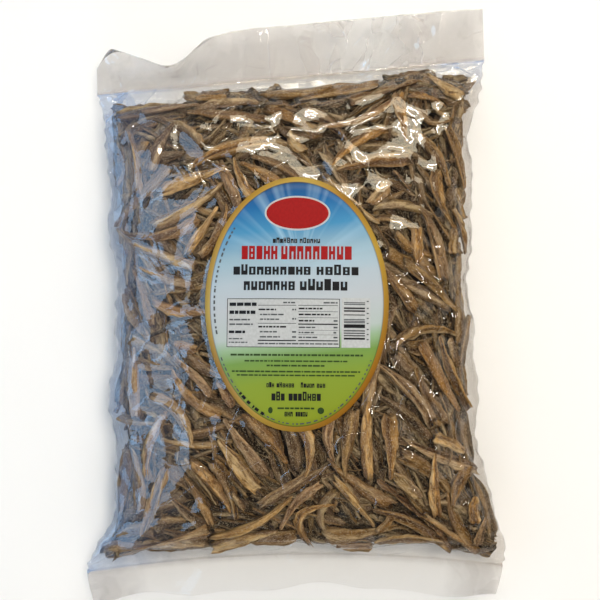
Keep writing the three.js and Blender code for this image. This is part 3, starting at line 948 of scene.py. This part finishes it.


# The whole film as one closed skin. Each point has its haze, with painted reflection of the window and
# painted glare in it, how crumpled it is, the haze's colour, and how much of the lamps' mirror images it
# shows.
def film_piece():
    skin = SURFACE - OUTWARD * film_depth[..., None]
    skin[..., 2] = np.maximum(skin[..., 2], LOWEST_FILM)
    chosen = list(range(0, ROWS, FILM_STEP))
    if chosen[-1] != ROWS - 1:
        chosen.append(ROWS - 1)
    columns = np.arange(0, COLUMNS, FILM_STEP)
    flap_steps = np.append(FLAP_LENGTH, LOOSE_STEPS[LOOSE_STEPS < FLAP_LENGTH][::-1])
    header_steps = np.append(LOOSE_STEPS[LOOSE_STEPS < HEADER_LENGTH], HEADER_LENGTH)
    flap = [flap_row(d)[columns] for d in flap_steps]
    header = [header_row(d)[columns] for d in header_steps]
    piece = skin_piece("film", np.stack([*flap, *[skin[r][columns] for r in chosen], *header]))
    # Painted reflection of the window's light: the haze is thicker on the left, and bluish there and on both
    # upper corners
    x = SURFACE[..., 0]
    left = 1 - smooth(x, -118, -45)
    corners = bell(FROM_SEAL, 0, 26) * (smooth(-x, 66, 108) + smooth(x, 84, 112))
    haze = FILM_HAZE + (SIDE_HAZE - LESS_ON_LEFT * ON_LEFT) * SIDE_EDGE + WINDOW_REFLECTION_HAZE * left
    haze = haze + SEAL_HAZE * bell(FROM_SEAL, 0, 2.2) + BOTTOM_HAZE * bell(FROM_BOTTOM, 0, 2.5)
    haze = haze + 0.03 * np.exp(-FROM_SEAL / 12) + 0.08 * np.exp(-FROM_BOTTOM / 6)
    crumple = np.clip(0.3 * left + corners, 0, 1)
    window_reflection = np.clip(left + corners, 0, 1)[..., None]
    tint = EDGE_HAZE * (1 - window_reflection) + WINDOW_REFLECTION_BLUE * window_reflection
    spread = np.ix_(chosen, columns)
    flap_ends = np.clip((np.abs(ACROSS[columns]) - 0.72) / 0.2, 0, 1)
    flap_haze = (FLAP_HAZE + 0.08 * bell(flap_steps, 0, 2.5)[:, None] + 0.12 * flap_ends).ravel()
    header_haze = np.repeat(HEADER_HAZE + 0.2 * bell(header_steps, 0, 2.0), len(columns))
    hazes = np.concatenate([flap_haze, haze[spread].ravel(), header_haze])
    header_x = ACROSS[columns] * WAIST_HALF_WIDTH
    header_crumple = np.tile(0.1 + 0.8 * bell(header_x, GLARE_X, 30), len(header_steps))
    crumples = np.concatenate([flap_haze, crumple[spread].ravel(), header_crumple])
    # Painted glare: the header's haze turns white round GLARE_X
    painted_glare = np.tile(0.8 * bell(header_x, GLARE_X, 32), len(header_steps))[:, None]
    flap_tint = np.broadcast_to(BEIGE_HAZE, (len(flap_haze), 3))
    header_tint = BEIGE_HAZE * (1 - painted_glare) + GLARE_WHITE * painted_glare
    tints = np.concatenate([flap_tint, tint[spread].reshape(-1, 3), header_tint])
    faint = np.tile(0.25 + 0.75 * flap_ends, len(flap_steps))
    glosses = np.concatenate([faint, np.ones(len(hazes) - len(faint))])
    point_values(piece, "FLOAT", film_haze=hazes, film_crumple=crumples, film_gloss=glosses)
    point_values(piece, "FLOAT_COLOR", film_tint=np.column_stack([tints, np.ones(len(tints))]))
    return piece


PANE_TILT = 0.16  # how steeply the small panes of crumpled film lean
SWELL_SCALE = 38.0
SWELL_HEIGHT = 0.0055
FACING_MIRROR = 0.052  # the share of light that is mirrored where the film faces the eye


# Clear film: see-through, glossy where it turns away, with a little haze
def film_material():
    graph = Graph("clear_film")
    graph.nodes.remove(graph.shader)
    place = graph.node("TexCoord").outputs["Object"]
    crumple = graph.attribute("film_crumple")
    # Wrinkles lie where the winding noise passes its middle value, and fade in and out along it
    winding = graph.noise(place, 30.0, 1.5, Roughness=0.45, Distortion=0.5)
    wrinkle = graph.ramp(winding, (0.482, (0, 0, 0)), (0.5, (1, 1, 1)), (0.518, (0, 0, 0)),
                         interpolation="EASE")
    ridge = graph.math("MULTIPLY", wrinkle, graph.ranged(graph.noise(place, 30.0, 1.0), 0.44, 0.58))
    crinkle = graph.noise(place, 110.0, 2.0, Roughness=0.5, Distortion=0.8)
    normal = graph.bump(crinkle, 0.15, 0.0012)
    # Smooth swells, in which thin lamps are mirrored as winding lines and rings
    swell = graph.noise(place, SWELL_SCALE, 1.0, Roughness=0.4, Distortion=0.5)
    normal = graph.bump(swell, 1.0, SWELL_HEIGHT, Normal=normal)
    normal = graph.bump(ridge, 0.8, 0.0005, Normal=normal)
    # Small flat panes between sharp creases, each tilted its own way
    bent = graph.noise(place, 26.0, 1.0, "Color")
    spread = graph.vector_math("MULTIPLY_ADD", bent, (0.02, 0.02, 0.02), place)
    panes = graph.voronoi(spread, 48.0)
    from_middle = graph.vector_math("SUBTRACT", spread, panes["Position"])
    lean = graph.vector_math("SUBTRACT", panes["Color"], (0.5, 0.5, 0.5))
    tilted = graph.vector_math("DOT_PRODUCT", from_middle, lean, output="Value")
    leaning = graph.math("MULTIPLY", tilted, graph.ranged(crumple, 0.0, 1.0, 0.25, 1.0))
    normal = graph.bump(leaning, 1.0, PANE_TILT, Normal=normal)
    # Where the film is crumpled: scraps of thicker haze with sharp edges, partly real haze and partly painted
    # reflection of the window, and whitish creases, which are painted glints
    scraps = graph.voronoi(graph.stretched(spread, (1.3, 0.7, 1.0)), 90.0)["Color"]
    haze = graph.attribute("film_haze")
    haze = graph.math("MULTIPLY_ADD", graph.ranged(scraps, 0.5, 0.62, 0.0, 0.26), crumple, haze)
    haze = graph.math("MULTIPLY_ADD", graph.math("MULTIPLY", ridge, crumple), 0.6, haze)
    clear = graph.node("BsdfTransparent", Color=(0.984, 0.982, 0.978)).outputs["BSDF"]
    milky = graph.node("BsdfDiffuse", Color=graph.attribute("film_tint", "Color")).outputs["BSDF"]
    gloss = graph.node("BsdfGlossy", Roughness=0.05, Normal=normal).outputs["BSDF"]
    facing = graph.node("LayerWeight", Blend=0.5, Normal=normal).outputs["Facing"]
    mirror = graph.ranged(graph.math("POWER", facing, 5.0), 0.0, 1.0, FACING_MIRROR, 1.0)
    mirror = graph.math("MULTIPLY", mirror, graph.attribute("film_gloss"))
    hazy = graph.node("MixShader", haze, clear, milky).outputs["Shader"]
    mixed = graph.node("MixShader", mirror, hazy, gloss).outputs["Shader"]
    graph.put(graph.nodes["Material Output"].inputs["Surface"], mixed)
    return graph.material


finished(film_piece(), "film", film_material(), "fish_in_film", "bag")

# The dark middle of the heap, behind the fish that show. Its very dark brown is painted shade for the fish
# deep in the heap.
CORE_STEP = 4
CORE_RINGS = 60
CORE_DEPTH = 14.0


def core_piece():
    shares = np.linspace(0.1, 0.88, CORE_RINGS)[:, None]
    points = fill_point(COLUMN_ANGLE[None, ::CORE_STEP], shares)
    crown = fill_point(math.pi / 2, shares)[..., 2]
    belly = fill_point(-math.pi / 2, shares)[..., 2]
    middle = (crown + belly) / 2
    depth = CORE_DEPTH + rng.uniform(-1, 1, points.shape[:2])
    points[..., 0] = SHIFT_X + (points[..., 0] - SHIFT_X) * (1 - depth / WAIST_HALF_WIDTH)
    points[..., 2] = middle + (points[..., 2] - middle) * np.maximum(1 - 2 * depth / (crown - belly), 0.2)
    return skin_piece("heap_core", points)


def core_material():
    graph = Graph("dark_heap")
    noise = graph.noise(graph.node("TexCoord").outputs["Object"], 180.0, 4.0)
    # Painted shade: very dark browns, as the heap's depths in shadow
    shade = graph.ramp(noise, (0.35, srgb(22, 14, 8)), (0.7, srgb(62, 43, 26)))
    return graph.surface(Base_Color=shade, Roughness=0.8)


finished(core_piece(), "heap_core", core_material(), "fish_in_film")


# The label


# Points of the label's plan, laid over the bag at a height above its form
def over_bag(x, y, height):
    turned_x = x * math.cos(LABEL_TILT) - y * math.sin(LABEL_TILT) + LABEL_X
    turned_y = x * math.sin(LABEL_TILT) + y * math.cos(LABEL_TILT) + LABEL_Y

    def at(px, py):
        w = np.clip(way_up(px, py), 0.001, 0.999)
        across = np.clip(px / half_width(px, w), -1, 1)
        return fill_point(np.arccos(signed_power(across, SECTION_POWER / 2)), w)

    step = 0.5
    to_right = at(turned_x + step, turned_y) - at(turned_x - step, turned_y)
    to_top = at(turned_x, turned_y + step) - at(turned_x, turned_y - step)
    return at(turned_x, turned_y) + unit(np.cross(to_right, to_top)) * height[..., None]


# Lays a piece that was modelled flat in the label's plan over the bag, and keeps its plan as a UV map
def drape(piece, lift):
    mesh = piece.data
    flat = mesh_points(mesh) / MM
    draped = over_bag(flat[:, 0], flat[:, 1], flat[:, 2] + lift) * MM
    plan = mesh.uv_layers.get("label_plan") or mesh.uv_layers.new(name="label_plan")
    corner = np.empty(len(mesh.loops), np.int32)
    mesh.loops.foreach_get("vertex_index", corner)
    uv = flat[corner][:, :2] / [LABEL_WIDTH / 2, LABEL_HEIGHT / 2]
    plan.data.foreach_set("uv", uv.astype(np.float32).ravel())
    mesh.vertices.foreach_set("co", draped.astype(np.float32).ravel())
    mesh.update()


LABEL_RINGS = 9
INNERMOST_RING = 0.65  # its size as a share of the last even ring


def label_sheet():
    deselect()
    bpy.ops.mesh.primitive_cylinder_add(
        vertices=128, radius=1, depth=LABEL_THICKNESS * MM, end_fill_type="NGON",
        location=(0, 0, LABEL_THICKNESS * MM / 2), scale=(LABEL_WIDTH / 2 * MM, LABEL_HEIGHT / 2 * MM, 1)
    )
    sheet = bpy.context.object
    bpy.ops.object.transform_apply(location=True, rotation=True, scale=True)
    for upper in (True, False):
        bpy.ops.object.mode_set(mode="EDIT")
        bpy.ops.mesh.select_mode(type="FACE")
        bpy.ops.mesh.select_all(action="DESELECT")
        bpy.ops.object.mode_set(mode="OBJECT")
        for face in sheet.data.polygons:
            face.select = len(face.vertices) > 4 and (face.normal.z > 0) == upper
        bpy.ops.object.mode_set(mode="EDIT")
        for ring in range(LABEL_RINGS, 0, -1):
            bpy.ops.mesh.extrude_region_move()
            share = (ring - 1) / ring if ring > 1 else INNERMOST_RING
            bpy.ops.transform.resize(value=(share, share, 1))
        bpy.ops.mesh.poke()
        bpy.ops.object.mode_set(mode="OBJECT")
    drape(sheet, LABEL_LIFT)
    for face in sheet.data.polygons:
        face.use_smooth = True
    return sheet


PRINT_SHADE = 0.84
PAPER_SPECULAR = 0.16
RIM = 3.1  # width of the gold band
RAYS_FROM = (0.04, 0.28, 0)


# Colours of print, a little darker than they are seen under the lamps
def inked(red, green, blue):
    return tuple(PRINT_SHADE * c for c in srgb(red, green, blue))


# The label's print: a sky of rays over a green field, in a gold band with a thin dark line
def label_material():
    graph = Graph("printed_label")
    plan = graph.node("UVMap", uv_map="label_plan").outputs["UV"]
    split = graph.node("SeparateXYZ", Vector=plan).outputs
    # The green field rises towards the right
    height = graph.ranged(graph.math("MULTIPLY_ADD", split["X"], -0.09, split["Y"]), -1.0, 1.0)
    field = graph.ramp(
        height,
        (0.0, inked(144, 158, 40)), (0.2, inked(138, 162, 54)), (0.29, inked(122, 160, 80)),
        (0.345, inked(156, 188, 150)), (0.385, inked(190, 204, 202)), (0.5, inked(196, 204, 212)),
        (0.6, inked(188, 204, 216)), (0.7, inked(158, 190, 208)), (0.8, inked(70, 148, 196)),
        (0.9, inked(22, 104, 168)), (1.0, inked(8, 66, 124)),
    )
    # Rays spread from a point above the middle, and fade away from it
    away = graph.vector_math("SUBTRACT", plan, RAYS_FROM)
    parts = graph.node("SeparateXYZ", Vector=away).outputs
    turn = graph.math("ARCTAN2", parts["Y"], parts["X"])
    rays = graph.node("TexNoise", noise_dimensions="1D", W=turn, Scale=3.4, Detail=1.8, Roughness=0.6)
    in_sky = graph.ranged(split["Y"], 0.12, 0.45)
    amount = graph.math("MULTIPLY", graph.ranged(rays.outputs["Fac"], 0.46, 0.74, 0.0, 0.7), in_sky)
    far = graph.vector_math("LENGTH", away, output="Value")
    amount = graph.math("MULTIPLY", amount, graph.ranged(far, 0.25, 1.0, 1.0, 0.3))
    color = graph.mix(amount, field, inked(176, 214, 236))
    # The band round the rim is equally wide all the way: it lies beyond a smaller ellipse
    smaller = (1 / (1 - 2 * RIM / LABEL_WIDTH), 1 / (1 - 2 * RIM / LABEL_HEIGHT), 0)
    inner = graph.vector_math("MULTIPLY", plan, smaller)
    reach = graph.vector_math("LENGTH", inner, output="Value")
    bands = graph.ramp(reach, (0.0, (0, 0, 0)), (0.987, (0.35, 0, 0)), (0.9935, (0.75, 0, 0)),
                       (1.0, (0, 1, 0)), interpolation="CONSTANT")
    band = graph.node("SeparateColor", Color=bands).outputs
    color = graph.mix(band["Red"], color, inked(74, 66, 44))
    slant = graph.ranged(graph.math("SUBTRACT", split["Y"], split["X"]), -1.4, 1.4)
    gold = graph.ramp(
        slant,
        (0.0, inked(170, 116, 34)), (0.35, inked(204, 168, 72)), (0.6, inked(176, 128, 46)),
        (0.82, inked(214, 182, 90)), (1.0, inked(196, 152, 58)),
    )
    color = graph.mix(band["Green"], color, gold)
    normal = graph.bump(graph.noise(plan, 90.0, 3.0), 0.1, 0.0002)
    return graph.surface(Base_Color=color, Roughness=0.45, Specular_IOR_Level=PAPER_SPECULAR, Normal=normal)


finished(label_sheet(), "label_sheet", label_material(), "label_paper", "label")


def print_material(name, color, roughness):
    graph = Graph(name)
    noise = graph.noise(graph.node("UVMap", uv_map="label_plan").outputs["UV"], 40.0, 2.0)
    shade = graph.ramp(noise, (0.3, tuple(c * 0.85 for c in color)), (0.7, color))
    return graph.surface(Base_Color=shade, Roughness=roughness, Specular_IOR_Level=PAPER_SPECULAR)


# Places of the print follow the photo: a pixel is this many millimetres, from the label's middle
PX = 0.615
MIDDLE_X_PX = 296.4
MIDDLE_Y_PX = 304.1
PRINT_THICKNESS = 0.06
LAYER_STEP = 0.08  # how much higher print lies that is printed over other print
LONGEST_FACE = 5


# A block or an oval of print is given by its middle, width, height and turn in radians
def spot(x, y, width, height, turn):
    place = ((x - MIDDLE_X_PX) * PX * MM, (MIDDLE_Y_PX - y) * PX * MM, PRINT_THICKNESS / 2 * MM)
    return {"location": place, "rotation": (0, 0, turn), "scale": (width * PX * MM, height * PX * MM, 1)}


# All print of one colour as one mesh: blocks and ovals added in edit mode, then laid over the label
def printed(name, ink, blocks, ovals=(), layer=0):
    deselect()
    bpy.ops.mesh.primitive_cube_add()
    piece = bpy.context.object
    bpy.ops.object.mode_set(mode="EDIT")
    bpy.ops.mesh.delete(type="VERT")
    for x, y, width, height, turn in blocks:
        placed = spot(x, y, width, height, turn)
        placed["scale"] = (*placed["scale"][:2], PRINT_THICKNESS * MM)
        bpy.ops.mesh.primitive_cube_add(size=1, **placed)
        cuts = int(max(width, height) * PX / LONGEST_FACE)
        if cuts:
            bpy.ops.mesh.subdivide(number_cuts=cuts)
    for oval in ovals:
        bpy.ops.mesh.primitive_cylinder_add(
            vertices=64, radius=0.5, depth=PRINT_THICKNESS * MM, end_fill_type="TRIFAN", **spot(*oval, 0)
        )
    bpy.ops.object.mode_set(mode="OBJECT")
    drape(piece, LABEL_LIFT + LABEL_THICKNESS + layer * LAYER_STEP)
    finished(piece, name, ink, "label_paper")


def bar(x0, x1, y0, y1):
    return (x0 + x1) / 2, (y0 + y1) / 2, x1 - x0, y1 - y0, 0


# Pale upright slits in a block of large print, from its top, its foot or both, or inside it
SLIT_SHAPES = (
    ((-0.02, 0.6),), ((0.42, 1.02),), ((-0.02, 0.36), (0.62, 1.02)),
    ((0.2, 0.8),), ((0.2, 0.42), (0.6, 0.82)), (),
)
SLIT_HALF_WIDTH = 0.13


def slits(left, right, top, foot):
    wide = right - left
    high = foot - top
    middle = (left + right) / 2
    reach = SLIT_HALF_WIDTH * wide
    spans = SLIT_SHAPES[rng.integers(len(SLIT_SHAPES))]
    return [bar(middle - reach, middle + reach, top + a * high, top + b * high) for a, b in spans]


# Rows of large print, each word a row of narrow blocks of uneven width and, if asked for, height
def large_words(rows):
    blocks, openings = [], []
    for y0, y1, uneven, words in rows:
        for x0, x1, letters in words:
            pitch = (x1 - x0) / letters
            for i in range(letters):
                left = x0 + i * pitch
                right = left + pitch * rng.uniform(0.78, 0.88)
                top = y0 + (y1 - y0) * (rng.choice([0, 0.22, 0.22, 0.22]) if uneven else 0)
                blocks.append(bar(left, right, top, y1))
                openings += slits(left, right, top, y1)
    return blocks, openings


# Lines of small print, as word-long blocks
def small_lines(rows):
    blocks = []
    for x0, x1, y, high in rows:
        while x0 < x1 - 1:
            end = min(x0 + rng.uniform(1.5, 7), x1)
            blocks.append(bar(x0, end, y - high / 2, y + high / 2))
            x0 = end + 0.8
    return blocks


# Small marks on an ellipse round the label's middle, from one angle in degrees to another
def rim_marks(half_wide, half_high, first, last, high):
    blocks = []
    while first < last:
        t = math.radians(first)
        along = (-half_wide * math.sin(t), half_high * math.cos(t))
        long = rng.uniform(1.2, 4.5)
        x = MIDDLE_X_PX + half_wide * math.cos(t)
        y = MIDDLE_Y_PX - half_high * math.sin(t)
        blocks.append((x, y, long, high, math.atan2(along[1], along[0])))
        first += math.degrees((long + 2.6) / math.hypot(*along))
    return blocks


# Rows of large print: top, foot, whether letters are uneven, and each word's ends and letters
RED_WORDS = ((247, 260.5, False, ((241, 277.8, 5), (280.5, 352, 9))),)
BLACK_WORDS = (
    (238.5, 244, True, ((272, 297, 7), (299, 320, 6))),
    (265.5, 276, True, ((233, 311, 10), (316, 359.5, 5))),
    (280, 291.5, True, ((243.5, 295.5, 7), (299.5, 348, 6))),
)
BLACK_WORDS_ON_GREEN = (
    (382.8, 388, True, ((267, 275, 3), (277, 294.8, 6), (301, 315, 5), (316.8, 325.8, 3))),
    (392, 401, True, ((272, 286, 3), (289, 321.5, 7))),
    (412, 416.6, False, ((285, 293.6, 3), (296, 308.2, 5))),
)
# The frame and lines of the table, and the code beside it: both ends, and each bar's top and foot
BLACK_BARS = (
    (227, 339.3, ((299.8, 300.4), (347.8, 348.4))),
    (227, 227.6, ((299.8, 348.4),)),
    (338.7, 339.3, ((299.8, 348.4),)),
    (258, 296, ((306.3, 306.8), (324.3, 324.8), (341, 342.1))),
    (298, 337.3, ((306.3, 306.8), (312.5, 312.9), (318.6, 319), (324.6, 325.8), (331, 331.3),
                  (335.6, 335.9), (341, 342.1))),
    (343.3, 364.3, ((308.2, 309.8), (311, 312.5), (315.2, 316.1), (325, 328.6), (330.9, 332),
                    (333.3, 334.3), (335.8, 336.9), (338.3, 340.2))),
)
# Lines of small print: both ends, the middle's y and the height
BLACK_LINES = (
    (229.5, 256.5, 305.6, 3.4), (229.5, 257, 313.6, 3.4), (229, 246, 333.2, 2.6),
    (258.5, 276, 310.8, 1.6), (258.5, 286, 328, 1.6), (298.5, 322, 309.7, 1.6), (298.5, 330, 315.6, 1.6),
    (298.5, 314, 321.8, 1.6),
)
GREY_LINES = (
    (229.5, 250, 321, 1.5), (229.5, 253, 325.6, 1.5), (229, 243, 340, 1.2), (229, 249, 343.6, 1.2),
    (283, 296, 303.8, 1.4), (323, 337, 303.8, 1.4), (260, 284, 315.8, 1.4), (260, 279, 320.5, 1.4),
    (260, 277, 333, 1.4), (260, 280, 338, 1.4), (298.5, 315, 328.4, 1.4), (298.5, 314, 333.5, 1.4),
    (298.5, 317, 338.3, 1.4),
    *((292, 296, y, 1.6) for y in (310.8, 320, 333, 338)),
    *((333, 337, y, 1.6) for y in (321.8, 328.4, 333.5, 338.3)),
    (258, 338, 344.7, 1.3),
    *((366, 368, y, 1.2) for y in (302, 309, 314, 319, 324, 330, 335, 340)),
)
GREEN_LINES = (
    (231, 362.5, 355.9, 1.9), (245, 347, 361.9, 1.5), (267, 324.7, 366.4, 1.7), (232.5, 359.8, 372.3, 1.6),
    (237.4, 356, 376, 1.5), (278, 314.5, 408.6, 1.8),
)
GREY_CODE_BARS = (303, 304.6, 319.8, 321.4, 322.8)

red, red_slits = large_words(RED_WORDS)
black, black_slits = large_words(BLACK_WORDS)
on_green, green_slits = large_words(BLACK_WORDS_ON_GREEN)
black += on_green + rim_marks(84, 119.5, 229, 247, 3.0)
black += [bar(x0, x1, y0, y1) for x0, x1, spans in BLACK_BARS for y0, y1 in spans]
black += small_lines(BLACK_LINES)
grey = [bar(343.3, 364.3, y, y + 1) for y in GREY_CODE_BARS] + rim_marks(82.4, 116, 140, 197, 1.7)
grey += rim_marks(84, 120, 208, 228, 1.3) + rim_marks(84, 120, 248, 332, 1.3) + small_lines(GREY_LINES)
white = [bar(227, 339.3, 299.8, 348.4), bar(341, 369.7, 298.8, 348.2)]
ink_table = (
    ("white_fields", "white_print", inked(206, 210, 212), 0.4, white, [(296.5, 213.5, 66, 35.5)], 0),
    ("red_marks", "red_print", inked(168, 22, 22), 0.35, red, [(296.5, 213.5, 62.6, 32)], 1),
    ("black_marks", "black_print", inked(30, 30, 32), 0.4, black, (), 1),
    ("pale_slits", "pale_print", inked(176, 196, 212), 0.4, red_slits + black_slits, (), 2),
    ("green_slits", "grass_print", inked(140, 164, 60), 0.4, green_slits, (), 2),
    ("grey_marks", "grey_print", inked(88, 92, 96), 0.4, grey, (), 1),
    ("small_marks", "green_print", inked(52, 74, 36), 0.4, small_lines(GREEN_LINES),
     [(271, 410.6, 4.5, 6.4), (321, 410.8, 6.6, 6.6)], 0),
)
for name, ink, color, roughness, blocks, ovals, layer in ink_table:
    printed(name, print_material(ink, color, roughness), blocks, ovals, layer)

# Floor, lights and camera
deselect()
bpy.ops.mesh.primitive_plane_add(size=8, location=(0, 0, -0.0004))
floor = bpy.context.object
floor.name = "floor"
floor.data.materials.append(Graph("pale_floor").surface(Base_Color=(0.97, 0.97, 0.97), Roughness=0.7))

LAMP_AIM = Vector((0, 0, 0.03))
WARM_WHITE = (1.0, 0.97, 0.9)
WINDOW_BLUE = (0.42, 0.68, 1.0)
# Name, place, size in metres, power, colour, whether the film mirrors it, and whether it lights things
LAMPS = (
    ("key_light", (0.25, 0.12, 1.4), (0.4, 0.4), 11.5, (1.0, 0.93, 0.81), False, True),
    ("right_fill", (1.4, -0.3, 0.9), (0.9, 0.6), 1.6, (1.0, 0.93, 0.8), True, True),
    ("left_fill", (-1.0, 0.1, 1.05), (1.2, 1.0), 3.8, (0.66, 0.82, 1.0), False, True),
    ("window_upper", (-1.2, 0.52, 0.95), (1.5, 1.5), 29.0, WINDOW_BLUE, True, False),
    ("window_lower", (-1.3, -0.66, 0.9), (1.4, 1.5), 26.0, WINDOW_BLUE, True, False),
    ("front_fill", (0.0, -1.5, 1.1), (1.2, 0.8), 9.0, (1.0, 0.98, 0.95), False, True),
    ("tube_lamp", (0.35, 1.34, 1.15), (1.3, 0.045), 15.0, WARM_WHITE, True, False),
    ("warm_panel", (0.35, 1.22, 1.05), (1.3, 0.7), 21.0, (1.0, 0.9, 0.68), True, False),
    ("back_fill", (0.35, 1.3, 1.1), (1.2, 0.5), 11.0, (1.0, 0.96, 0.9), False, True),
    ("small_lamp", (0.92, -0.05, 1.15), (0.3, 0.03), 1.0, WARM_WHITE, True, False),
)
for name, place, size, power, color, mirrored, lighting in LAMPS:
    deselect()
    bpy.ops.object.light_add(type="AREA", location=place)
    lamp = bpy.context.object
    lamp.name = name
    lamp.rotation_euler = (LAMP_AIM - Vector(place)).to_track_quat("-Z", "Y").to_euler()
    lamp.data.shape = "RECTANGLE"
    lamp.data.size, lamp.data.size_y = size
    lamp.data.energy = power
    lamp.data.color = color
    lamp.visible_glossy = mirrored
    lamp.visible_diffuse = lighting

world = bpy.data.worlds.new("studio")
bpy.context.scene.world = world
world.use_nodes = True
world.node_tree.nodes["Background"].inputs["Color"].default_value = (0.95, 0.96, 1.0, 1)
world.node_tree.nodes["Background"].inputs["Strength"].default_value = 0.08
bpy.context.scene.view_settings.view_transform = "Standard"

CAMERA_ELEVATION = math.radians(87)
CAMERA_ROLL = math.radians(-0.8)
CAMERA_DISTANCE = 0.80
CAMERA_AIM = Vector((0.0058, 0.0022, 0.035))
FRAME_WIDTH = 0.3865  # metres across the picture at the height of the aim
SENSOR_WIDTH = 36

deselect()
back = Vector((0, -math.cos(CAMERA_ELEVATION), math.sin(CAMERA_ELEVATION)))
bpy.ops.object.camera_add(location=CAMERA_AIM + back * CAMERA_DISTANCE)
camera = bpy.context.object
turn = (-back).to_track_quat("-Z", "Y").to_matrix() @ Matrix.Rotation(CAMERA_ROLL, 3, "Z")
camera.rotation_euler = turn.to_euler()
camera.data.sensor_width = SENSOR_WIDTH
camera.data.lens = SENSOR_WIDTH * CAMERA_DISTANCE / FRAME_WIDTH
camera.data.clip_start = 0.05
bpy.context.scene.camera = camera
